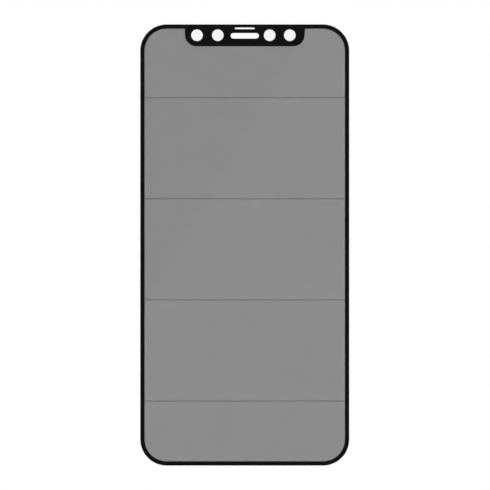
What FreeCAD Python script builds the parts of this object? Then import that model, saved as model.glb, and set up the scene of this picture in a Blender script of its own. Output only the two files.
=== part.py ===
"""Privacy screen protector for a notched phone: a bonded stack of four thin sheets.

From the front they are a tempered cover glass with a rounded edge, a black border printed on the back
of the glass, a grey louvre film that hides the display from the sides, and the adhesive that holds the
stack to the display. The protector lies on its adhesive face, front side up. The origin is the middle of
the adhesive face, +X runs across the protector, +Y towards its notch end and +Z out of its front.
All lengths are in millimetres.
"""

import FreeCAD
import Part
import Sketcher
import math
import os

# Driving sizes: alias, value and what the value measures.
SIZES = (
    ("width", 66.6, "glass, side to side"),
    ("height", 140.6, "glass, notch end to lower end"),
    ("corner_radius", 8.4, "outer corners of the glass"),
    ("glass_thickness", 0.33, "tempered cover glass"),
    ("edge_round", 0.25, "rounding of the front edge of the glass"),
    ("edge_chamfer", 0.05, "chamfer on the back edge of the glass"),
    ("ink_thickness", 0.02, "printed border"),
    ("ink_margin", 0.08, "bare glass left outside the print"),
    ("border_width", 1.38, "edge of the glass to the edge of the view"),
    ("tab_width", 38.2, "printed tab over the notch, side to side"),
    ("tab_depth", 6.97, "edge of the glass to the lower edge of the tab"),
    ("tab_corner_radius", 3.7, "lower corners of the tab"),
    ("tab_root_radius", 0.3, "inner corners where the tab leaves the border"),
    ("window_diameter", 3.7, "clear sensor windows in the tab"),
    ("window_from_top", 3.44, "edge of the glass to the window centres"),
    ("outer_left_margin", 2.02, "left side of the tab to the rim of the outer left window"),
    ("inner_left_gap", 2.25, "left end of the earpiece slot to the rim of the inner left window"),
    ("inner_right_gap", 1.58, "right end of the earpiece slot to the rim of the inner right window"),
    ("outer_right_margin", 2.9, "right side of the tab to the rim of the outer right window"),
    ("earpiece_length", 9.0, "earpiece slot, end to end"),
    ("earpiece_width", 1.78, "earpiece slot, across"),
    ("earpiece_from_top", 3.64, "edge of the glass to the middle of the slot"),
    ("vent_length", 6.3, "upper slot, end to end"),
    ("vent_width", 0.53, "upper slot, across"),
    ("vent_from_top", 1.26, "edge of the glass to the middle of the slot"),
    ("film_thickness", 0.18, "louvre film"),
    ("film_overlap", 0.63, "film tucked behind the print, all round the view"),
    ("line_width", 0.28, "cross lines in the film"),
    ("line_depth", 0.03, "cross lines in the film"),
    ("line_from_top", 23.37, "edge of the glass to the first cross line"),
    ("line_pitch", 32.22, "one cross line to the next"),
    ("line_count", 4, "cross lines in the film"),
    ("adhesive_thickness", 0.05, "adhesive on the back of the film"),
)

# Most of the glass above its chamfer that the front rounding may take.
ROUND_SHARE = 0.9

# Expressions shared by several sketches, in terms of the sheet of sizes.
TOP = "Sizes.height / 2"
FILM_INSET = "(Sizes.border_width - Sizes.film_overlap)"
AXES = {"x": ("DistanceX", "Vertical"), "y": ("DistanceY", "Horizontal")}
ORIGIN_POINT = (-1, 1)
START, END, CENTRE = 1, 2, 3
UP = FreeCAD.Vector(0, 0, 1)


def make_sheet(doc):
    """Writes the driving sizes to a spreadsheet with one alias for each."""
    sheet = doc.addObject("Spreadsheet::Sheet", "Sizes")
    for row, (alias, value, meaning) in enumerate(SIZES, start=1):
        sheet.set(f"A{row}", meaning)
        sheet.set(f"B{row}", str(value))
        sheet.setAlias(f"B{row}", alias)
    doc.recompute()
    return sheet


def value_of(owner, expression):
    """What an expression in the sheet's sizes comes to, as a plain number."""
    return float(owner.Document.Sizes.evalExpression(expression.replace("Sizes.", "")))


def drive(sketch, constraint, expression):
    """Adds a dimension to a sketch and binds it to an expression."""
    index = sketch.addConstraint(constraint)
    sketch.setExpression(f"Constraints[{index}]", expression)


def place(sketch, point, axis, expression):
    """Sets how far a point lies from the origin along an axis, on either side of it."""
    kind = AXES[axis][0]
    distance = value_of(sketch, expression)
    if distance >= 0:
        drive(sketch, Sketcher.Constraint(kind, *ORIGIN_POINT, *point, distance), expression)
    else:
        drive(sketch, Sketcher.Constraint(kind, *point, *ORIGIN_POINT, -distance), f"-({expression})")


def corner_arc(corner, heading_in, heading_out, radius):
    """The arc that rounds one corner of an anticlockwise outline, and whether it turns left there."""
    first = corner - heading_in * radius
    last = corner + heading_out * radius
    centre = first + heading_out * radius
    turns_left = heading_in.cross(heading_out).z > 0
    start, end = (first, last) if turns_left else (last, first)
    angles = [math.atan2(p.y - centre.y, p.x - centre.x) for p in (start, end)]
    return Part.ArcOfCircle(Part.Circle(centre, UP, radius), *angles), first, last, turns_left


def outline(sketch, sides, radii):
    """Draws a closed outline of level and upright sides with a rounded corner after each side.

    sides gives an axis and an expression for each side in anticlockwise order: an x side is upright and
    lies that far from the origin along X. radii gives an expression for the corner after each side.
    """
    count = len(sides)
    places = [value_of(sketch, expression) for _, expression in sides]
    corners = []
    for i, (axis, _) in enumerate(sides):
        here, ahead = places[i], places[(i + 1) % count]
        corners.append(FreeCAD.Vector(here, ahead, 0) if axis == "x" else FreeCAD.Vector(ahead, here, 0))
    headings = [(corners[i] - corners[i - 1]).normalize() for i in range(count)]
    rounds = []
    for i in range(count):
        radius = value_of(sketch, radii[i])
        rounds.append(corner_arc(corners[i], headings[i], headings[(i + 1) % count], radius))

    lines = [
        sketch.addGeometry(Part.LineSegment(rounds[i - 1][2], rounds[i][1])) for i in range(count)
    ]
    arcs = [sketch.addGeometry(rounded[0]) for rounded in rounds]
    for i, (axis, expression) in enumerate(sides):
        near, far = (START, END) if rounds[i][3] else (END, START)
        after = lines[(i + 1) % count]
        sketch.addConstraint(Sketcher.Constraint(AXES[axis][1], lines[i]))
        sketch.addConstraint(Sketcher.Constraint("Tangent", lines[i], END, arcs[i], near))
        sketch.addConstraint(Sketcher.Constraint("Tangent", arcs[i], far, after, START))
    for i, (axis, expression) in enumerate(sides):
        place(sketch, (lines[i], START), axis, expression)
        drive(sketch, Sketcher.Constraint("Radius", arcs[i], rounds[i][0].Radius), radii[i])


def sheet_outline(sketch, inset):
    """Draws the outline of the glass, moved in by an expression."""
    half_width = f"(Sizes.width / 2 - {inset})"
    half_height = f"({TOP} - {inset})"
    sides = [("y", f"-{half_height}"), ("x", half_width), ("y", half_height), ("x", f"-{half_width}")]
    outline(sketch, sides, [f"Sizes.corner_radius - {inset}"] * len(sides))


def view_outline(sketch, inset, growth):
    """Draws the outline of the view, which runs round the notch tab.

    inset is how far the outline lies inside the edge of the glass, and growth is how far it lies outside
    the edge of the print, which it follows at an even distance round the tab.
    """
    half_width = f"(Sizes.width / 2 - {inset})"
    half_height = f"({TOP} - {inset})"
    half_tab = f"(Sizes.tab_width / 2 - {growth})"
    tab_floor = f"({TOP} - Sizes.tab_depth + {growth})"
    sides = [
        ("y", f"-{half_height}"),
        ("x", half_width),
        ("y", half_height),
        ("x", half_tab),
        ("y", tab_floor),
        ("x", f"-{half_tab}"),
        ("y", half_height),
        ("x", f"-{half_width}"),
    ]
    corner = f"Sizes.corner_radius - {inset}"
    root = f"Sizes.tab_root_radius + {growth}"
    tab_corner = f"Sizes.tab_corner_radius - {growth}"
    outline(sketch, sides, [corner, corner, root, tab_corner, tab_corner, root, corner, corner])


def slot(sketch, name):
    """Draws one round-ended slot on the middle line of the protector, from the sizes of that name."""
    reach = f"(Sizes.{name}_length - Sizes.{name}_width) / 2"
    radius = f"Sizes.{name}_width / 2"
    level = f"{TOP} - Sizes.{name}_from_top"
    run, rise, size = (value_of(sketch, e) for e in (reach, level, radius))
    right, left = FreeCAD.Vector(run, rise, 0), FreeCAD.Vector(-run, rise, 0)
    half = FreeCAD.Vector(0, size, 0)
    quarter = math.pi / 2
    lower = sketch.addGeometry(Part.LineSegment(left - half, right - half))
    upper = sketch.addGeometry(Part.LineSegment(right + half, left + half))
    right_end = sketch.addGeometry(Part.ArcOfCircle(Part.Circle(right, UP, size), -quarter, quarter))
    left_end = sketch.addGeometry(Part.ArcOfCircle(Part.Circle(left, UP, size), quarter, 3 * quarter))
    ring = (lower, right_end, upper, left_end)
    for before, after in zip(ring, ring[1:] + ring[:1]):
        sketch.addConstraint(Sketcher.Constraint("Tangent", before, END, after, START))
    sketch.addConstraint(Sketcher.Constraint("Horizontal", lower))
    sketch.addConstraint(Sketcher.Constraint("Equal", left_end, right_end))
    drive(sketch, Sketcher.Constraint("Radius", right_end, size), radius)
    place(sketch, (right_end, CENTRE), "x", reach)
    place(sketch, (left_end, CENTRE), "x", f"-({reach})")
    place(sketch, (right_end, CENTRE), "y", level)


def rectangle(sketch, reach, level, half):
    """Draws a level rectangle that reaches as far to both sides, half as tall above and below a level."""
    run, low, high = (value_of(sketch, e) for e in (reach, f"{level} - {half}", f"{level} + {half}"))
    corners = [FreeCAD.Vector(x, y, 0) for x, y in ((-run, low), (run, low), (run, high), (-run, high))]
    lines = [
        sketch.addGeometry(Part.LineSegment(corners[i], corners[(i + 1) % len(corners)]))
        for i in range(len(corners))
    ]
    for i, line in enumerate(lines):
        after = lines[(i + 1) % len(lines)]
        sketch.addConstraint(Sketcher.Constraint("Coincident", line, END, after, START))
        sketch.addConstraint(Sketcher.Constraint("Horizontal" if i % 2 == 0 else "Vertical", line))
    place(sketch, (lines[0], START), "x", f"-({reach})")
    place(sketch, (lines[0], START), "y", f"{level} - {half}")
    place(sketch, (lines[2], START), "x", reach)
    place(sketch, (lines[2], START), "y", f"{level} + {half}")


def slots(sketch):
    """Draws both slots that are cut right through the notch tab."""
    for name in ("earpiece", "vent"):
        slot(sketch, name)


def windows(sketch):
    """Draws the four sensor windows that the print leaves clear, inside the tab and beside the earpiece."""
    radius = "Sizes.window_diameter / 2"
    level = f"{TOP} - Sizes.window_from_top"
    tab_side = f"Sizes.tab_width / 2 - {radius}"
    slot_end = f"Sizes.earpiece_length / 2 + {radius}"
    for across in (
        f"-({tab_side} - Sizes.outer_left_margin)",
        f"-({slot_end} + Sizes.inner_left_gap)",
        f"({slot_end} + Sizes.inner_right_gap)",
        f"({tab_side} - Sizes.outer_right_margin)",
    ):
        size = value_of(sketch, radius)
        centre = FreeCAD.Vector(value_of(sketch, across), value_of(sketch, level), 0)
        circle = sketch.addGeometry(Part.Circle(centre, UP, size))
        drive(sketch, Sketcher.Constraint("Radius", circle, size), radius)
        place(sketch, (circle, CENTRE), "x", across)
        place(sketch, (circle, CENTRE), "y", level)


def new_body(doc, label, height):
    """Starts a sheet of the stack, at an expression for the height of its back face."""
    body = doc.addObject("PartDesign::Body", label)
    body.Label = label
    body.setExpression("Placement.Base.z", height)
    return body


def origin_feature(body, role):
    """One of a body's own origin planes or axes."""
    return next(f for f in body.Origin.OriginFeatures if f.Role == role)


def new_sketch(body, name):
    """Starts a sketch on the back face of a sheet."""
    sketch = body.newObject("Sketcher::SketchObject", name)
    sketch.AttachmentSupport = [(origin_feature(body, "XY_Plane"), "")]
    sketch.MapMode = "FlatFace"
    return sketch


def pad(body, sketch, thickness):
    """Thickens a sketch into a sheet."""
    feature = body.newObject("PartDesign::Pad", f"{body.Name}_pad")
    feature.Profile = sketch
    feature.setExpression("Length", thickness)
    body.Document.recompute()
    return feature


def rim(shape, level):
    """Names of the edges round the outside of the flat face at a level."""
    slack = Part.Precision.confusion()
    flat = [f for f in shape.Faces if all(abs(v.Z - level) < slack for v in f.Vertexes)]
    face = max(flat, key=lambda f: f.Area)
    outer = face.OuterWire.Edges
    return [f"Edge{n}" for n, edge in enumerate(shape.Edges, start=1) if any(edge.isSame(o) for o in outer)]


def make_cover_glass(doc):
    """Tempered glass with both slots cut through it, a rounded front edge and a chamfered back edge."""
    height = "Sizes.adhesive_thickness + Sizes.film_thickness + Sizes.ink_thickness"
    body = new_body(doc, "cover_glass", height)
    sketch = new_sketch(body, "glass_outline")
    sheet_outline(sketch, "0")
    slots(sketch)
    blank = pad(body, sketch, "Sizes.glass_thickness")

    rounding = body.newObject("PartDesign::Fillet", "front_rounding")
    rounding.Base = (blank, rim(blank.Shape, value_of(body, "Sizes.glass_thickness")))
    limit = f"{ROUND_SHARE} * (Sizes.glass_thickness - Sizes.edge_chamfer)"
    rounding.setExpression("Radius", f"min(Sizes.edge_round; {limit})")
    doc.recompute()

    chamfer = body.newObject("PartDesign::Chamfer", "back_chamfer")
    chamfer.Base = (rounding, rim(rounding.Shape, 0))
    chamfer.setExpression("Size", "Sizes.edge_chamfer")
    return body


def make_border_print(doc):
    """Black ink on the back of the glass: a border, and the notch tab with its windows and slots."""
    body = new_body(doc, "border_print", "Sizes.adhesive_thickness + Sizes.film_thickness")
    sketch = new_sketch(body, "print_outline")
    sheet_outline(sketch, "Sizes.ink_margin")
    view_outline(sketch, "Sizes.border_width", "0")
    slots(sketch)
    windows(sketch)
    pad(body, sketch, "Sizes.ink_thickness")
    return body


def make_privacy_film(doc):
    """Grey louvre film that fills the view, cut clear of the notch tab, with fine cross lines."""
    body = new_body(doc, "privacy_film", "Sizes.adhesive_thickness")
    sketch = new_sketch(body, "film_outline")
    view_outline(sketch, FILM_INSET, "Sizes.film_overlap")
    pad(body, sketch, "Sizes.film_thickness")

    line = new_sketch(body, "cross_line")
    line.setExpression("AttachmentOffset.Base.z", "Sizes.film_thickness")
    rectangle(line, "Sizes.width / 2", f"{TOP} - Sizes.line_from_top", "Sizes.line_width / 2")
    groove = body.newObject("PartDesign::Pocket", "cross_line_groove")
    groove.Profile = line
    groove.setExpression("Length", "Sizes.line_depth")
    doc.recompute()

    pattern = body.newObject("PartDesign::LinearPattern", "cross_lines")
    pattern.Originals = [groove]
    pattern.Direction = (origin_feature(body, "Y_Axis"), [""])
    pattern.Reversed = True
    pattern.Mode = "Spacing"
    pattern.setExpression("Offset", "Sizes.line_pitch")
    pattern.setExpression("Occurrences", "Sizes.line_count")
    body.Tip = pattern
    return body


def make_adhesive_layer(doc):
    """Clear adhesive over the whole back of the film, cut with it."""
    body = new_body(doc, "adhesive_layer", "0")
    sketch = new_sketch(body, "adhesive_outline")
    view_outline(sketch, FILM_INSET, "Sizes.film_overlap")
    pad(body, sketch, "Sizes.adhesive_thickness")
    return body


def check(doc, bodies):
    """Stops the script if an object failed to recompute or a sheet isn't a valid single solid."""
    for item in doc.Objects:
        if not item.isValid() or {"Invalid", "Error"} & set(item.State):
            raise RuntimeError(f"{item.Label} failed: {item.State}")
    for body in bodies:
        if body.Shape.isNull() or not body.Shape.isValid() or len(body.Shape.Solids) != 1:
            raise RuntimeError(f"{body.Label} isn't one valid solid")


def main():
    doc = FreeCAD.newDocument("privacy_screen_protector")
    make_sheet(doc)
    bodies = [
        make_cover_glass(doc),
        make_border_print(doc),
        make_privacy_film(doc),
        make_adhesive_layer(doc),
    ]
    doc.recompute()
    check(doc, bodies)
    os.makedirs("parts", exist_ok=True)
    for body in bodies:
        body.Shape.exportStep(f"parts/{body.Label}.step")
        box = body.Shape.optimalBoundingBox()
        print(
            f"{body.Label}: {box.XLength:.2f} x {box.YLength:.2f} x {box.ZLength:.3f} mm,"
            f" z {box.ZMin:.3f} to {box.ZMax:.3f}, {body.Shape.Volume:.3f} mm3"
        )


main()
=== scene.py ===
"""Looks of the privacy screen protector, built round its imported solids.

The protector lies flat, adhesive side down and front side up, and the camera looks straight down on it
with the notch end at the top of the picture. The cover glass, the printed border and the louvre film are
modelled here in millimetres and brought to metres when they are finished. The adhesive keeps its solid.
"""

import logging
import math
from abc import ABC, abstractmethod
from dataclasses import dataclass, field
from enum import Enum, auto
from typing import Callable, ClassVar, Iterable, Optional, Union

import bpy
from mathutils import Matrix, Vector


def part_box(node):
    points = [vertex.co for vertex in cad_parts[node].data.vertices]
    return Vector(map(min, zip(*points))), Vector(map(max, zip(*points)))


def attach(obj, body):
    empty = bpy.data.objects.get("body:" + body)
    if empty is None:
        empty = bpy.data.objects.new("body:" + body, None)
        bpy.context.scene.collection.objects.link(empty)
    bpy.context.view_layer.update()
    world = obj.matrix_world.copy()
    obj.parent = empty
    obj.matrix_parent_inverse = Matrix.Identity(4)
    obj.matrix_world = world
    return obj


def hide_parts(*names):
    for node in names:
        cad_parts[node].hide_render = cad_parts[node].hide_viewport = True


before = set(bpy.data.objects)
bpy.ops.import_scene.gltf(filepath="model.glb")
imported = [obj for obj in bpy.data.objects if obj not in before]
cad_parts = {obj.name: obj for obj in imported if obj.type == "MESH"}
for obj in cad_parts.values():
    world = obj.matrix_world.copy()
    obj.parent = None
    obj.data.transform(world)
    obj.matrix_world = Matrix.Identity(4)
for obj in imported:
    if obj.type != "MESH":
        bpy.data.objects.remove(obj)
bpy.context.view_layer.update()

MM = 0.001
BODY = "root"
log = logging.getLogger("protector")

# Modelling distances in millimetres, and the shading angle in degrees
SAME_PLACE = 0.0001
CUT_PAST = 1.0
SMOOTH_ANGLE = 25.0

# Upward share of a face's normal, at which it counts as level or as upright
LEVEL = 0.999
UPRIGHT = 0.05

# Signs of x and y at the four corners of a sheet
CORNERS = ((-1, -1), (-1, 1), (1, -1), (1, 1))

Chooser = Callable[[Vector, Vector], bool]
Radii = dict[tuple[int, int], float]
Colour = tuple[float, float, float]
Span = tuple[float, float]
Value = Union[float, bpy.types.NodeSocket]
Feed = Union[float, tuple[float, ...], bpy.types.NodeSocket]
Inputs = dict[Union[str, int], Feed]
Owner = Union[bpy.types.Material, bpy.types.World]


class RecordSlot(Enum):
    """Material slots of the record, one for each modelled layer."""

    GLASS = "clear_glass"
    INK = "black_ink"
    FILM = "smoked_film"


class Part(Enum):
    """Parts of a mesh that a modelling step can pick."""

    VERTICES = auto()
    EDGES = auto()
    FACES = auto()


class Coordinates(Enum):
    """Coordinates that a node tree can start from."""

    PLACE = "Object"
    DIRECTION = "Generated"


class Sum(Enum):
    """Sums that the finishes are worked out with, by Blender's names for them."""

    MULTIPLY = auto()
    MULTIPLY_ADD = auto()
    SUBTRACT = auto()
    MAXIMUM = auto()
    LESS_THAN = auto()
    PINGPONG = auto()
    SINE = auto()


def neutral(tone: float) -> tuple[float, ...]:
    """Returns a neutral colour of this brightness, with its alpha."""
    return tone, tone, tone, 1.0


class Workbench:
    """Hand modelling steps in millimetres, each made with Blender's own operators."""

    @staticmethod
    def hold(piece: bpy.types.Object) -> None:
        """Makes a piece the only selected and active object, in object mode.

        Args:
            piece: The object to work on.
        """
        bpy.ops.object.select_all(action="DESELECT")
        piece.select_set(True)
        bpy.context.view_layer.objects.active = piece

    @staticmethod
    def pick(piece: bpy.types.Object, part: Part, chooser: Chooser) -> int:
        """Selects vertices, edges or faces by their place and normal, and opens edit mode.

        Args:
            piece: The object to work on.
            part: Which kind of element to select.
            chooser: Says whether an element at a place with a normal is wanted. An edge is asked about
                each of its two ends, and has to be wanted at both.

        Returns:
            How many elements were selected.
        """
        Workbench.hold(piece)
        mesh = piece.data
        for elements in (mesh.vertices, mesh.edges, mesh.polygons):
            elements.foreach_set("select", [False] * len(elements))
        if part is Part.FACES:
            chosen = [face for face in mesh.polygons if chooser(face.center, face.normal)]
        else:
            wanted = [chooser(vertex.co, vertex.normal) for vertex in mesh.vertices]
            chosen = [vertex for vertex in mesh.vertices if wanted[vertex.index]]
            if part is Part.EDGES:
                chosen = [edge for edge in mesh.edges if all(wanted[end] for end in edge.vertices)]
        for element in chosen:
            element.select = True
        bpy.context.tool_settings.mesh_select_mode = tuple(part is kind for kind in Part)
        bpy.ops.object.mode_set(mode="EDIT")
        return len(chosen)

    @staticmethod
    def everywhere(place: Vector, normal: Vector) -> bool:
        """Chooser that wants all there is."""
        return True

    @staticmethod
    def leave() -> None:
        """Goes back to object mode."""
        bpy.ops.object.mode_set(mode="OBJECT")

    @staticmethod
    def bevel(
        piece: bpy.types.Object, part: Part, chooser: Chooser, size: float, facets: int = 1
    ) -> None:
        """Rounds or chamfers the corners or edges that a chooser wants.

        Args:
            piece: The object to work on.
            part: Part.VERTICES for the corners of a flat face, Part.EDGES for edges of a solid.
            chooser: Says which corners, or ends of edges, are wanted.
            size: Radius of the rounding, or size of the chamfer.
            facets: Number of facets in the rounding. A single one makes a chamfer.
        """
        if Workbench.pick(piece, part, chooser):
            bpy.ops.mesh.bevel(offset=size, segments=facets, affect=part.name)
        Workbench.leave()

    @staticmethod
    def crease(piece: bpy.types.Object, chooser: Chooser) -> None:
        """Keeps the shading of a flat face apart from the rounding that runs out of it.

        Args:
            piece: The object to work on.
            chooser: Says which ends of edges lie on the rim of the flat face.
        """
        Workbench.pick(piece, Part.EDGES, chooser)
        bpy.ops.mesh.mark_sharp()
        Workbench.leave()

    @staticmethod
    def thicken(piece: bpy.types.Object, height: float) -> None:
        """Extrudes a flat piece upwards into a closed solid with its faces outwards.

        Args:
            piece: A single flat face.
            height: How far to extrude it.
        """
        Workbench.pick(piece, Part.FACES, Workbench.everywhere)
        bpy.ops.mesh.extrude_region_move(TRANSFORM_OT_translate={"value": (0, 0, height)})
        bpy.ops.mesh.select_all(action="SELECT")
        bpy.ops.mesh.remove_doubles(threshold=SAME_PLACE)
        bpy.ops.mesh.normals_make_consistent(inside=False)
        Workbench.leave()

    @staticmethod
    def plate(
        name: str, low: Vector, high: Vector, radii: Optional[Radii] = None, facets: int = 1
    ) -> bpy.types.Object:
        """Models a level plate, with rounded corners where it has any.

        Args:
            name: Name of the new object.
            low: Lowest corner of the plate's box.
            high: Highest corner of the plate's box.
            radii: Corner radius for each corner that is rounded, by the signs of its x and y.
            facets: Number of facets in each rounded corner.

        Returns:
            The plate, with its place in its mesh.
        """
        middle, size = (low + high) / 2, high - low
        bpy.ops.object.select_all(action="DESELECT")
        bpy.ops.mesh.primitive_plane_add(size=1, location=(middle.x, middle.y, low.z))
        piece = bpy.context.object
        piece.name = piece.data.name = name
        piece.scale = (size.x, size.y, 1)
        bpy.ops.object.transform_apply(location=True, rotation=True, scale=True)
        for (side, end), radius in (radii or {}).items():
            corner = Vector((high.x if side > 0 else low.x, high.y if end > 0 else low.y, low.z))

            def at_corner(place: Vector, normal: Vector, corner: Vector = corner) -> bool:
                """True at the corner whose turn it is."""
                return (place - corner).length < SAME_PLACE

            Workbench.bevel(piece, Part.VERTICES, at_corner, radius, facets)
        Workbench.thicken(piece, size.z)
        return piece

    @staticmethod
    def cut(piece: bpy.types.Object, cutters: Iterable[bpy.types.Object]) -> None:
        """Cuts shapes out of a piece and throws the cutters away.

        Args:
            piece: The object to cut.
            cutters: Closed shapes to take out of it.
        """
        for cutter in cutters:
            Workbench.hold(piece)
            modifier = piece.modifiers.new("cut", "BOOLEAN")
            modifier.operation = "DIFFERENCE"
            modifier.solver = "EXACT"
            modifier.object = cutter
            bpy.ops.object.modifier_apply(modifier=modifier.name)
            bpy.data.meshes.remove(cutter.data)

    @staticmethod
    def paint(piece: bpy.types.Object, finish: bpy.types.Material, chooser: Chooser) -> None:
        """Gives a finish to the faces that a chooser wants.

        Args:
            piece: The object to dress.
            finish: The finish, which gets a slot of its own.
            chooser: Says which faces are wanted.
        """
        piece.data.materials.append(finish)
        piece.active_material_index = len(piece.data.materials) - 1
        if Workbench.pick(piece, Part.FACES, chooser):
            bpy.ops.object.material_slot_assign()
        Workbench.leave()

    @staticmethod
    def finish(piece: bpy.types.Object, node: str, slot: RecordSlot) -> None:
        """Brings a piece to metres, shades it and lets it stand for its solid.

        Args:
            piece: A finished piece in millimetres.
            node: The solid that the piece replaces.
            slot: The record's material slot for the piece. Not used.
        """
        Workbench.hold(piece)
        piece.scale = (MM, MM, MM)
        bpy.ops.object.transform_apply(location=True, rotation=True, scale=True)
        bpy.ops.object.shade_smooth_by_angle(angle=math.radians(SMOOTH_ANGLE), keep_sharp_edges=True)
        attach(piece, BODY)
        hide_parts(node)


class Recipe:
    """A node tree in the making, of a finish or of the surroundings."""

    def __init__(self, owner: Owner, output: str) -> None:
        """Starts a tree with nothing but its output.

        Args:
            owner: The material or the world that the tree belongs to.
            output: Kind of its output node.
        """
        owner.use_nodes = True
        self.owner = owner
        self.tree = owner.node_tree
        self.tree.nodes.clear()
        self.output = self.add(output)

    @classmethod
    def finish(cls, name: str) -> "Recipe":
        """Starts the recipe of a finish with this name."""
        return cls(bpy.data.materials.new(name), "OutputMaterial")

    @classmethod
    def surroundings(cls, name: str) -> "Recipe":
        """Starts the recipe of surroundings with this name."""
        return cls(bpy.data.worlds.new(name), "OutputWorld")

    def add(self, kind: str, inputs: Optional[Inputs] = None, **settings: object) -> bpy.types.Node:
        """Adds a node.

        Args:
            kind: Blender's name for the kind of node, without its prefix.
            inputs: What goes into its inputs, by name or number: values, or outputs of other nodes.
            settings: Properties of the node to set.

        Returns:
            The new node.
        """
        node = self.tree.nodes.new("ShaderNode" + kind)
        for key, setting in settings.items():
            setattr(node, key, setting)
        for key, value in (inputs or {}).items():
            self.feed(node.inputs[key], value)
        return node

    def feed(self, socket: bpy.types.NodeSocket, value: Feed) -> None:
        """Sets an input, or links it where the value is an output.

        Args:
            socket: The input.
            value: A number, a colour or another node's output.
        """
        if isinstance(value, bpy.types.NodeSocket):
            self.tree.links.new(value, socket)
        else:
            socket.default_value = value

    def work_out(self, kind: Sum, *values: Value) -> bpy.types.NodeSocket:
        """Returns the result of a sum on some values, in order."""
        return self.add("Math", dict(enumerate(values)), operation=kind.name).outputs[0]

    def place(
        self, coordinates: Coordinates = Coordinates.PLACE
    ) -> tuple[bpy.types.NodeSocket, bpy.types.NodeOutputs]:
        """Returns the coordinates as one vector, and the same split into X, Y and Z."""
        vector = self.add("TexCoord").outputs[coordinates.value]
        return vector, self.add("SeparateXYZ", {0: vector}).outputs

    def noise(self, place: bpy.types.NodeSocket, size: float, detail: float) -> bpy.types.NodeSocket:
        """Adds soft random variation.

        Args:
            place: Coordinates in metres.
            size: Size of its blotches, in millimetres.
            detail: How many finer layers it has.

        Returns:
            A value round a half.
        """
        inputs = {"Vector": place, "Scale": 1 / (size * MM), "Detail": detail}
        return self.add("TexNoise", inputs).outputs["Fac"]

    def wave(self, along: bpy.types.NodeSocket, pitch: float) -> bpy.types.NodeSocket:
        """Returns a sine wave along a coordinate in metres, at a pitch in millimetres."""
        turns = 2 * math.pi / (pitch * MM)
        return self.work_out(Sum.SINE, self.work_out(Sum.MULTIPLY, along, turns))

    def between(self, value: Value, result: Span, source: Span = (0.0, 1.0)) -> bpy.types.NodeSocket:
        """Maps a value softly from one range to another.

        Args:
            value: What to map.
            result: What comes out at the start and at the end of the range.
            source: Start and end of the range that the value runs through.

        Returns:
            The mapped value, clamped to the range.
        """
        inputs = dict(enumerate((value, *source, *result)))
        return self.add("MapRange", inputs, interpolation_type="SMOOTHSTEP").outputs[0]

    def grey(self, value: bpy.types.NodeSocket, tint: Colour = (1, 1, 1)) -> bpy.types.NodeSocket:
        """Mixes a neutral or faintly tinted colour of varying brightness.

        Args:
            value: Its brightness.
            tint: What each of red, green and blue is multiplied by.

        Returns:
            The colour.
        """
        shares = [value if share == 1 else self.work_out(Sum.MULTIPLY, value, share) for share in tint]
        return self.add("CombineColor", dict(enumerate(shares))).outputs[0]

    def mix(self, factor: Value, first: bpy.types.Node, second: bpy.types.Node) -> bpy.types.Node:
        """Returns two shaders mixed: the first shows at a factor of 0, the second at 1."""
        return self.add("MixShader", {0: factor, 1: first.outputs[0], 2: second.outputs[0]})

    def done(self, surface: bpy.types.Node, volume: Optional[bpy.types.Node] = None) -> Owner:
        """Links the finished shaders to the output.

        Args:
            surface: Shader of the surface.
            volume: Shader of what is inside, if any.

        Returns:
            The finished material or world.
        """
        self.feed(self.output.inputs["Surface"], surface.outputs[0])
        if volume is not None:
            self.feed(self.output.inputs["Volume"], volume.outputs[0])
        return self.owner


@dataclass(frozen=True)
class PolishedGlass:
    """Clear tempered glass with a smooth front that mirrors a little and keeps faint wipe marks."""

    passes: Colour = (0.977, 0.978, 0.9775)
    bends: float = 1.5
    roughness: Span = (0.012, 0.05)
    wipe_size: float = 9.0
    wipe_detail: float = 4.0
    wipe_turn: float = 24.0
    wipe_squeeze: float = 0.22
    wipe_range: Span = (0.45, 0.75)

    def make(self) -> bpy.types.Material:
        """Makes the finish of the flat faces.

        Returns:
            The material.
        """
        recipe = Recipe.finish("polished_glass")
        place, _ = recipe.place()
        wipes = recipe.add("Mapping", {
            "Vector": place,
            "Rotation": (0, 0, math.radians(self.wipe_turn)),
            "Scale": (1, self.wipe_squeeze, 1),
        })
        marks = recipe.noise(wipes.outputs[0], self.wipe_size, self.wipe_detail)
        dulled = recipe.between(marks, self.roughness, self.wipe_range)
        clear = recipe.add("BsdfTransparent", {"Color": (*self.passes, 1)})
        gloss = recipe.add("BsdfGlossy", {"Roughness": dulled})
        fresnel = recipe.add("Fresnel", {"IOR": self.bends})
        geometry = recipe.add("NewGeometry")
        front = recipe.work_out(Sum.SUBTRACT, 1.0, geometry.outputs["Backfacing"])
        share = recipe.work_out(Sum.MULTIPLY, fresnel.outputs[0], front)
        return recipe.done(recipe.mix(share, clear, gloss))


@dataclass(frozen=True)
class RoundedRim:
    """Satin rounding of the front edge, which mirrors less and bends the view in over the black print."""

    passes: Colour = (0.985, 1.0, 0.993)
    clarity: Span = (0.96, 0.985)
    bends: float = 1.5
    mirrors: float = 0.35
    roughness: Span = (0.16, 0.24)
    mark_size: float = 1.5
    mark_detail: float = 3.0

    def make(self) -> bpy.types.Material:
        """Makes the finish of the rounding.

        Returns:
            The material.
        """
        recipe = Recipe.finish("rounded_rim")
        place, _ = recipe.place()
        marks = recipe.noise(place, self.mark_size, self.mark_detail)
        glass = recipe.add("BsdfPrincipled", {
            "Base Color": recipe.grey(recipe.between(marks, self.clarity), self.passes),
            "Roughness": recipe.between(marks, self.roughness),
            "IOR": self.bends,
            "Transmission Weight": 1.0,
            "Specular Tint": neutral(self.mirrors),
        })
        return recipe.done(glass)


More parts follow.
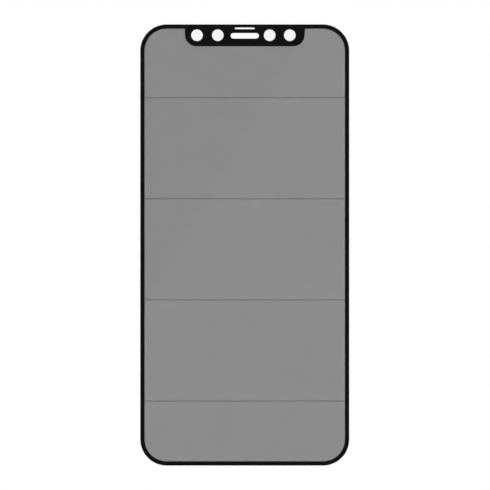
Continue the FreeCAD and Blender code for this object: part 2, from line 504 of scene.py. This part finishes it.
@dataclass(frozen=True)
class GroundEdge:
    """Fine ground finish of the walls of the glass, a little greener and duller than its faces."""

    passes: Colour = (0.82, 0.86, 0.84)
    tint: Colour = (0.93, 1.0, 0.97)
    brightness: Span = (0.38, 0.52)
    roughness: Span = (0.25, 0.45)
    grain_size: float = 0.12
    grain_detail: float = 3.0
    frosted: float = 0.3

    def make(self) -> bpy.types.Material:
        """Makes the finish of the walls.

        Returns:
            The material.
        """
        recipe = Recipe.finish("ground_edge")
        place, _ = recipe.place()
        grain = recipe.noise(place, self.grain_size, self.grain_detail)
        clear = recipe.add("BsdfTransparent", {"Color": (*self.passes, 1)})
        frost = recipe.add("BsdfPrincipled", {
            "Base Color": recipe.grey(recipe.between(grain, self.brightness), self.tint),
            "Roughness": recipe.between(grain, self.roughness),
        })
        return recipe.done(recipe.mix(self.frosted, clear, frost))


@dataclass(frozen=True)
class ScreenPrint:
    """Dense black ink laid through a fine mesh, seen through the glass."""

    black: Span = (0.00369, 0.00451)
    roughness: Span = (0.42, 0.55)
    shine: float = 0.06
    blotch_size: float = 2.6
    blotch_detail: float = 3.0
    blotch_range: Span = (0.3, 0.7)
    thread_pitch: float = 0.14
    thread_height: float = 0.004
    thread_strength: float = 0.12

    def make(self) -> bpy.types.Material:
        """Makes the finish of the print, with the faint relief of the mesh's threads.

        Returns:
            The material.
        """
        recipe = Recipe.finish("screen_print")
        place, axes = recipe.place()
        density = recipe.noise(place, self.blotch_size, self.blotch_detail)
        warp, weft = (recipe.wave(axes[name], self.thread_pitch) for name in ("X", "Y"))
        relief = recipe.add("Bump", {
            "Strength": self.thread_strength,
            "Distance": self.thread_height * MM,
            "Height": recipe.work_out(Sum.MULTIPLY, warp, weft),
        })
        ink = recipe.add("BsdfPrincipled", {
            "Base Color": recipe.grey(recipe.between(density, self.black, self.blotch_range)),
            "Roughness": recipe.between(density, self.roughness, self.blotch_range),
            "Specular IOR Level": self.shine,
            "Normal": relief.outputs[0],
        })
        return recipe.done(ink)


@dataclass(frozen=True)
class CrossLines:
    """Fine level lines pressed into the front of the film at equal steps, in millimetres."""

    width: float = 0.28
    depth: float = 0.03
    from_top: float = 23.37
    pitch: float = 32.22
    count: int = 4

    def cutter(self, top: float, reach: float, level: float) -> bpy.types.Object:
        """Models the shape that the lines take out of the film: one bar, repeated down the film.

        Args:
            top: Level of the upper edge of the glass along Y.
            reach: How far the bars run to each side.
            level: Level of the floor of the lines.

        Returns:
            The cutter.
        """
        middle, half = top - self.from_top, self.width / 2
        low, high = Vector((-reach, middle - half, level)), Vector((reach, middle + half, level + CUT_PAST))
        bar = Workbench.plate("line_cutter", low, high)
        row = bar.modifiers.new("row", "ARRAY")
        row.use_relative_offset = False
        row.use_constant_offset = True
        row.constant_offset_displace = (0, -self.pitch, 0)
        row.count = self.count
        Workbench.hold(bar)
        bpy.ops.object.modifier_apply(modifier=row.name)
        return bar


@dataclass(frozen=True)
class LouvreFilm:
    """Smoked film that darkens towards the sides, with upright louvres and one faint painted diagonal
    sheen.
    """

    passes: float = 0.7257
    line_passes: float = 0.73
    # Painted sheen: a diagonal reflection painted into the film's tone, lighter on one side of the diagonal
    painted_sheen: float = 0.0232
    painted_sheen_angle: float = 30.3
    painted_sheen_place: float = -17.9
    painted_sheen_soft: float = 0.4
    louvre_pitch: float = 0.64
    louvre_depth: float = 0.012
    density: float = 2476.0
    haze: float = 0.05
    haze_tone: Span = (0.035, 0.05)
    roughness: Span = (0.22, 0.32)
    grain_size: float = 0.6
    grain_detail: float = 2.0

    def painted_sheen_tone(self, recipe: Recipe, axes: bpy.types.NodeOutputs) -> bpy.types.NodeSocket:
        """Works out the painted sheen: the film's brightness on the two sides of a diagonal, a reflection
        painted into its tone.

        Args:
            recipe: The film's recipe.
            axes: Place on the film, split into X, Y and Z.

        Returns:
            The share of light that the film's surface passes, with the painted sheen in it.
        """
        turn = math.radians(self.painted_sheen_angle)
        share_x = recipe.work_out(Sum.MULTIPLY, axes["X"], math.cos(turn))
        share_y = recipe.work_out(Sum.MULTIPLY, axes["Y"], math.sin(turn))
        across = recipe.work_out(Sum.SUBTRACT, share_x, share_y)
        start, end = (self.painted_sheen_place + shift for shift in (-self.painted_sheen_soft, self.painted_sheen_soft))
        low, high = (self.passes * math.sqrt(1 + change) for change in (-self.painted_sheen, self.painted_sheen))
        return recipe.between(across, (low, high), (start * MM, end * MM))

    def line_tone(
        self, recipe: Recipe, axes: bpy.types.NodeOutputs, lines: CrossLines, top: float
    ) -> bpy.types.NodeSocket:
        """Darkens the cross lines.

        Args:
            recipe: The film's recipe.
            axes: Place on the film, split into X, Y and Z.
            lines: The cross lines.
            top: Level of the upper edge of the glass along Y.

        Returns:
            The share of light that the lines leave: 1 between them.
        """
        offset = recipe.work_out(Sum.SUBTRACT, axes["Y"], (top - lines.from_top) * MM)
        nearest = recipe.work_out(Sum.PINGPONG, offset, lines.pitch / 2 * MM)
        on_line = recipe.work_out(Sum.LESS_THAN, nearest, lines.width / 2 * MM)
        return recipe.work_out(Sum.MULTIPLY_ADD, on_line, self.line_passes - 1, 1.0)

    def louvre_tone(self, recipe: Recipe, axes: bpy.types.NodeOutputs) -> bpy.types.NodeSocket:
        """Returns the share of light that the fine upright louvres leave, round 1."""
        wave = recipe.wave(axes["X"], self.louvre_pitch)
        return recipe.work_out(Sum.MULTIPLY_ADD, wave, self.louvre_depth, 1.0)

    def make(self, lines: CrossLines, top: float) -> bpy.types.Material:
        """Makes the film's finish, surface and inside.

        Args:
            lines: The cross lines, which are darker than the rest.
            top: Level of the upper edge of the glass along Y.

        Returns:
            The material.
        """
        recipe = Recipe.finish("louvre_film")
        place, axes = recipe.place()
        # The tone carries the painted sheen, the darker cross lines and the louvres
        tone = recipe.work_out(
            Sum.MULTIPLY, self.painted_sheen_tone(recipe, axes), self.line_tone(recipe, axes, lines, top)
        )
        tone = recipe.work_out(Sum.MULTIPLY, tone, self.louvre_tone(recipe, axes))
        clear = recipe.add("BsdfTransparent", {"Color": recipe.grey(tone)})
        grain = recipe.noise(place, self.grain_size, self.grain_detail)
        body = recipe.add("BsdfPrincipled", {
            "Base Color": recipe.grey(recipe.between(grain, self.haze_tone)),
            "Roughness": recipe.between(grain, self.roughness),
        })
        inside = recipe.add("VolumeAbsorption", {"Color": neutral(0.0), "Density": self.density})
        return recipe.done(recipe.mix(self.haze, clear, body), inside)


@dataclass(frozen=True)
class ClearAdhesive:
    """Water clear silicone with the faint orange peel of a coated layer."""

    clarity: Span = (0.986, 0.992)
    brightness: Span = (0.72, 0.8)
    roughness: Span = (0.3, 0.42)
    peel_size: float = 1.4
    peel_detail: float = 2.0
    haze: float = 0.01

    def make(self) -> bpy.types.Material:
        """Makes the finish of the adhesive.

        Returns:
            The material.
        """
        recipe = Recipe.finish("clear_adhesive")
        place, _ = recipe.place()
        peel = recipe.noise(place, self.peel_size, self.peel_detail)
        clear = recipe.add("BsdfTransparent", {"Color": recipe.grey(recipe.between(peel, self.clarity))})
        gel = recipe.add("BsdfPrincipled", {
            "Base Color": recipe.grey(recipe.between(peel, self.brightness)),
            "Roughness": recipe.between(peel, self.roughness),
        })
        return recipe.done(recipe.mix(self.haze, clear, gel))


@dataclass(frozen=True)
class Slot:
    """A round-ended slot on the middle line of the protector, in millimetres.

    Its ends stop just short of half circles, so that a sliver of a straight edge is left between them.
    """

    length: float
    width: float
    from_top: float
    roundness: float = 0.9995
    facets: int = 16

    def cutter(self, top: float, low: float, high: float) -> bpy.types.Object:
        """Models the shape that the slot takes out of a sheet.

        Args:
            top: Level of the upper edge of the glass along Y.
            low: Level of the sheet's back face.
            high: Level of the sheet's front face.

        Returns:
            The cutter, which runs past both faces.
        """
        level, reach, half = top - self.from_top, self.length / 2, self.width / 2
        lowest = Vector((-reach, level - half, low - CUT_PAST))
        highest = Vector((reach, level + half, high + CUT_PAST))
        radii = dict.fromkeys(CORNERS, half * self.roundness)
        return Workbench.plate("slot_cutter", lowest, highest, radii, self.facets)


@dataclass(frozen=True)
class NotchTab:
    """Tab over the phone's notch with its sensor windows and slots, in millimetres."""

    width: float = 38.2
    depth: float = 6.97
    corner_radius: float = 3.7
    corner_facets: int = 20
    root_radius: float = 0.3
    root_facets: int = 10
    window_diameter: float = 3.7
    window_from_top: float = 3.44
    window_places: tuple[float, ...] = (-15.23, -8.6, 7.93, 14.35)
    window_facets: int = 96
    earpiece: Slot = Slot(length=9.0, width=1.78, from_top=3.64)
    vent: Slot = Slot(length=6.3, width=0.53, from_top=1.26)

    @property
    def slots(self) -> tuple[Slot, Slot]:
        """Slots that go through the glass and the print."""
        return self.earpiece, self.vent

    def blank(self, top: float, low: float, high: float, shrink: float) -> bpy.types.Object:
        """Models the shape that the tab takes out of a sheet that fills the view.

        Args:
            top: Level of the upper edge of the glass along Y.
            low: Level of the sheet's back face.
            high: Level of the sheet's front face.
            shrink: How far its outline lies inside the edge of the print.

        Returns:
            The cutter, which runs past both faces and past the upper edge of the glass.
        """
        reach, floor = self.width / 2 - shrink, top - self.depth + shrink
        lowest = Vector((-reach, floor, low - CUT_PAST))
        highest = Vector((reach, top + CUT_PAST, high + CUT_PAST))
        radii = {(side, end): self.corner_radius - shrink for side, end in CORNERS if end < 0}
        return Workbench.plate("tab_blank", lowest, highest, radii, self.corner_facets)

    def windows(self, top: float, low: float, high: float) -> list[bpy.types.Object]:
        """Models the cutters of the sensor windows: one, and copies of it.

        Args:
            top: Level of the upper edge of the glass along Y.
            low: Level of the sheet's back face.
            high: Level of the sheet's front face.

        Returns:
            The cutters, which run past both faces.
        """
        bpy.ops.object.select_all(action="DESELECT")
        bpy.ops.mesh.primitive_cylinder_add(
            vertices=self.window_facets,
            radius=self.window_diameter / 2,
            depth=high - low + 2 * CUT_PAST,
            location=(0, top - self.window_from_top, (low + high) / 2),
        )
        first = bpy.context.object
        cutters = [first]
        for _ in self.window_places[1:]:
            copy = first.copy()
            copy.data = first.data.copy()
            bpy.context.scene.collection.objects.link(copy)
            cutters.append(copy)
        for cutter, across in zip(cutters, self.window_places):
            cutter.location.x = across
            Workbench.hold(cutter)
            bpy.ops.object.transform_apply(location=True, rotation=True, scale=True)
        return cutters


@dataclass(frozen=True)
class Sheet:
    """Outline that all the sheets share: a rectangle with rounded corners, in millimetres."""

    width: float
    height: float
    corner_radius: float = 8.4
    corner_facets: int = 36
    border_width: float = 1.38

    @property
    def top(self) -> float:
        """Level of the upper edge of the glass along Y."""
        return self.height / 2

    def plate(self, name: str, inset: float, low: float, high: float) -> bpy.types.Object:
        """Models a plate with this outline, moved in all round.

        Args:
            name: Name of the new object.
            inset: How far its edge lies inside the edge of the glass.
            low: Level of its back face.
            high: Level of its front face.

        Returns:
            The plate.
        """
        reach, rise = self.width / 2 - inset, self.height / 2 - inset
        lowest, highest = Vector((-reach, -rise, low)), Vector((reach, rise, high))
        radii = dict.fromkeys(CORNERS, self.corner_radius - inset)
        return Workbench.plate(name, lowest, highest, radii, self.corner_facets)

    def view(self, name: str, overlap: float, tab: NotchTab, low: float, high: float) -> bpy.types.Object:
        """Models a plate that fills the view and runs round the notch tab.

        Args:
            name: Name of the new object.
            overlap: How far its edge lies outside the edge of the view.
            tab: The notch tab.
            low: Level of its back face.
            high: Level of its front face.

        Returns:
            The plate.
        """
        inset = self.border_width - overlap
        piece = self.plate(name, inset, low, high)
        Workbench.cut(piece, [tab.blank(self.top, low, high, overlap)])
        side, level = tab.width / 2 - overlap, self.top - inset

        def at_root(place: Vector, normal: Vector) -> bool:
            """True at the corners where the tab leaves the border."""
            return abs(abs(place.x) - side) < SAME_PLACE and abs(place.y - level) < SAME_PLACE

        Workbench.bevel(piece, Part.EDGES, at_root, tab.root_radius + overlap, tab.root_facets)
        return piece


@dataclass
class Layer(ABC):
    """A sheet of the stack that is modelled here and stands for its solid, in millimetres."""

    node: ClassVar[str]
    slot: ClassVar[RecordSlot]

    sheet: Sheet
    tab: NotchTab
    clearance: float = 0.003

    def levels(self) -> Span:
        """Returns the levels of the back and front faces, inside the solid's by the clearance."""
        low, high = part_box(self.node)
        return low.z / MM + self.clearance, high.z / MM - self.clearance

    @abstractmethod
    def build(self) -> bpy.types.Object:
        """Returns the modelled layer."""

    @abstractmethod
    def dress(self, piece: bpy.types.Object) -> None:
        """Gives the modelled layer its finish."""

    def make(self) -> bpy.types.Object:
        """Models and dresses the layer, and lets it stand for its solid.

        Returns:
            The finished layer, in metres.
        """
        piece = self.build()
        self.dress(piece)
        Workbench.finish(piece, self.node, self.slot)
        return piece


@dataclass
class CoverGlass(Layer):
    """Tempered glass: the front of the protector, rounded at its edge and cut through by the slots."""

    node = "cover_glass"
    slot = RecordSlot.GLASS

    clearance: float = 0.0
    edge_round: float = 0.25
    edge_facets: int = 8
    edge_chamfer: float = 0.05
    face_finish: PolishedGlass = field(default_factory=PolishedGlass)
    rim_finish: RoundedRim = field(default_factory=RoundedRim)
    wall_finish: GroundEdge = field(default_factory=GroundEdge)

    def build(self) -> bpy.types.Object:
        """Models the glass.

        Returns:
            The glass, in millimetres.
        """
        low, high = self.levels()
        piece = self.sheet.plate("glass_sheet", 0, low, high)

        def at_front(place: Vector, normal: Vector) -> bool:
            """True on the front face."""
            return place.z > high - SAME_PLACE

        def at_back(place: Vector, normal: Vector) -> bool:
            """True on the back face."""
            return place.z < low + SAME_PLACE

        Workbench.bevel(piece, Part.EDGES, at_front, self.edge_round, self.edge_facets)
        Workbench.bevel(piece, Part.EDGES, at_back, self.edge_chamfer)
        Workbench.crease(piece, at_front)
        Workbench.cut(piece, [slot.cutter(self.sheet.top, low, high) for slot in self.tab.slots])
        return piece

    def dress(self, piece: bpy.types.Object) -> None:
        """Polishes its faces, gives its rounded rim a satin finish, and grinds its walls and back edge.

        Args:
            piece: The glass.
        """

        def on_rim(place: Vector, normal: Vector) -> bool:
            """True on the rounding of the front edge."""
            return UPRIGHT < normal.z < LEVEL

        def on_walls(place: Vector, normal: Vector) -> bool:
            """True on the outer walls, the walls of the slots and the back edge."""
            return -LEVEL < normal.z < UPRIGHT

        Workbench.paint(piece, self.face_finish.make(), Workbench.everywhere)
        Workbench.paint(piece, self.rim_finish.make(), on_rim)
        Workbench.paint(piece, self.wall_finish.make(), on_walls)


@dataclass
class BorderPrint(Layer):
    """Black print on the back of the glass: the border, and the notch tab with its windows and slots."""

    node = "border_print"
    slot = RecordSlot.INK

    margin: float = 0.08
    finish: ScreenPrint = field(default_factory=ScreenPrint)

    def build(self) -> bpy.types.Object:
        """Models the print.

        Returns:
            The print, in millimetres.
        """
        (low, high), top = self.levels(), self.sheet.top
        piece = self.sheet.plate("black_border", self.margin, low, high)
        view = self.sheet.view("view_cutter", 0, self.tab, low - CUT_PAST, high + CUT_PAST)
        slots = [slot.cutter(top, low, high) for slot in self.tab.slots]
        Workbench.cut(piece, [view, *slots, *self.tab.windows(top, low, high)])
        return piece

    def dress(self, piece: bpy.types.Object) -> None:
        """Gives the print its ink."""
        piece.data.materials.append(self.finish.make())


@dataclass
class PrivacyFilm(Layer):
    """Smoked louvre film that fills the view, with fine cross lines pressed into its front."""

    node = "privacy_film"
    slot = RecordSlot.FILM

    overlap: float = 0.63
    lines: CrossLines = field(default_factory=CrossLines)
    finish: LouvreFilm = field(default_factory=LouvreFilm)

    def build(self) -> bpy.types.Object:
        """Models the film.

        Returns:
            The film, in millimetres.
        """
        low, high = self.levels()
        piece = self.sheet.view("louvre_film", self.overlap, self.tab, low, high)
        lines = self.lines.cutter(self.sheet.top, self.sheet.width / 2, high - self.lines.depth)
        Workbench.cut(piece, [lines])
        return piece

    def dress(self, piece: bpy.types.Object) -> None:
        """Gives the film its smoked finish."""
        piece.data.materials.append(self.finish.make(self.lines, self.sheet.top))


@dataclass
class AdhesiveLayer:
    """Clear adhesive under the film, which keeps its solid."""

    finish: ClearAdhesive = field(default_factory=ClearAdhesive)

    def make(self) -> bpy.types.Object:
        """Dresses the solid.

        Returns:
            The solid in its finish.
        """
        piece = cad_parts["adhesive_layer"]
        piece.data.materials.clear()
        piece.data.materials.append(self.finish.make())
        return piece


@dataclass(frozen=True)
class Softbox:
    """A large soft lamp that looks at the middle of the protector, in metres and watts."""

    name: str
    place: tuple[float, float, float]
    power: float
    size: float = 1.1

    def make(self) -> bpy.types.Object:
        """Hangs the lamp in its place.

        Returns:
            The lamp.
        """
        data = bpy.data.lights.new(self.name, "AREA")
        data.shape = "SQUARE"
        data.size = self.size
        data.energy = self.power
        lamp = bpy.data.objects.new(self.name, data)
        lamp.location = self.place
        lamp.rotation_euler = (-Vector(self.place)).to_track_quat("-Z", "Y").to_euler()
        bpy.context.scene.collection.objects.link(lamp)
        return lamp


@dataclass
class Studio:
    """Plain white floor, soft lamps, and the camera straight above the protector, in metres."""

    floor_size: float = 12.0
    floor_gap: float = 0.00004
    floor_tone: float = 0.96
    floor_glow: float = 0.91
    floor_fade: Span = (0.12, 0.6)
    ceiling: float = 0.04
    horizon: float = 0.55
    room_fade: Span = (0.1, 0.85)
    lens: float = 135.0
    sensor: float = 36.0
    photo_pixels: int = 490
    pixel_size: float = 0.31871 * MM
    pixels_off_middle: float = 0.24
    clear_layers: int = 24
    softboxes: tuple[Softbox, ...] = (
        Softbox("key_softbox", (-0.9, 0.55, 0.95), 12.8),
        Softbox("fill_softbox", (1.05, 0.2, 0.85), 9.6),
        Softbox("front_softbox", (0.15, -1.15, 0.8), 10.3),
    )

    def floor(self) -> bpy.types.Object:
        """Lays the floor just under the adhesive.

        Returns:
            The floor, which glows white to the eye and keeps the protector's shadow.
        """
        bpy.ops.object.select_all(action="DESELECT")
        bpy.ops.mesh.primitive_plane_add(size=self.floor_size, location=(0, 0, -self.floor_gap))
        floor = bpy.context.object
        floor.name = "floor"
        recipe = Recipe.finish("white_floor")
        path = recipe.add("LightPath").outputs
        seen = recipe.work_out(Sum.MAXIMUM, path["Is Camera Ray"], path["Is Glossy Ray"])
        seen = recipe.work_out(Sum.MAXIMUM, seen, path["Is Transmission Ray"])
        place, _ = recipe.place()
        distance = recipe.add("VectorMath", {0: place}, operation="LENGTH").outputs["Value"]
        bright = recipe.between(distance, (self.floor_glow, 1.0), self.floor_fade)
        matt = recipe.add("BsdfDiffuse", {"Color": neutral(self.floor_tone)})
        glow = recipe.add("Emission", {"Color": neutral(1.0), "Strength": 1.0})
        share = recipe.work_out(Sum.MULTIPLY, seen, bright)
        floor.data.materials.append(recipe.done(recipe.mix(share, matt, glow)))
        return floor

    def surroundings(self) -> None:
        """Sets white surroundings with a bright horizon and a dim ceiling for the glass to mirror."""
        recipe = Recipe.surroundings("studio")
        _, direction = recipe.place(Coordinates.DIRECTION)
        shade = recipe.between(direction["Z"], (self.horizon, self.ceiling), self.room_fade)
        room = recipe.add("Background", {"Color": shade})
        white = recipe.add("Background", {"Color": neutral(1.0)})
        path = recipe.add("LightPath").outputs
        bpy.context.scene.world = recipe.done(recipe.mix(path["Is Camera Ray"], room, white))

    def camera(self) -> bpy.types.Object:
        """Hangs the camera straight above the protector.

        Returns:
            The camera.
        """
        data = bpy.data.cameras.new("camera")
        data.lens = self.lens
        data.sensor_width = self.sensor
        camera = bpy.data.objects.new("camera", data)
        distance = self.photo_pixels * self.pixel_size * self.lens / self.sensor
        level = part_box("border_print")[1].z
        camera.location = (self.pixels_off_middle * self.pixel_size, 0, level + distance)
        bpy.context.scene.collection.objects.link(camera)
        bpy.context.scene.camera = camera
        return camera

    def make(self) -> None:
        """Builds the whole studio."""
        self.floor()
        self.surroundings()
        self.camera()
        for softbox in self.softboxes:
            softbox.make()
        scene = bpy.context.scene
        scene.view_settings.view_transform = "Standard"
        scene.cycles.transparent_max_bounces = self.clear_layers


def main() -> None:
    """Builds the protector's pieces and the studio, and reports each piece."""
    logging.basicConfig(level=logging.INFO, format="%(message)s")
    low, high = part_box("cover_glass")
    sheet = Sheet(width=(high.x - low.x) / MM, height=(high.y - low.y) / MM)
    tab = NotchTab()
    makers = (CoverGlass(sheet, tab), BorderPrint(sheet, tab), PrivacyFilm(sheet, tab), AdhesiveLayer())
    for maker in makers:
        piece = maker.make()
        log.info("%s: %d faces", piece.name, len(piece.data.polygons))
    Studio().make()


if __name__ == "__main__":
    main()
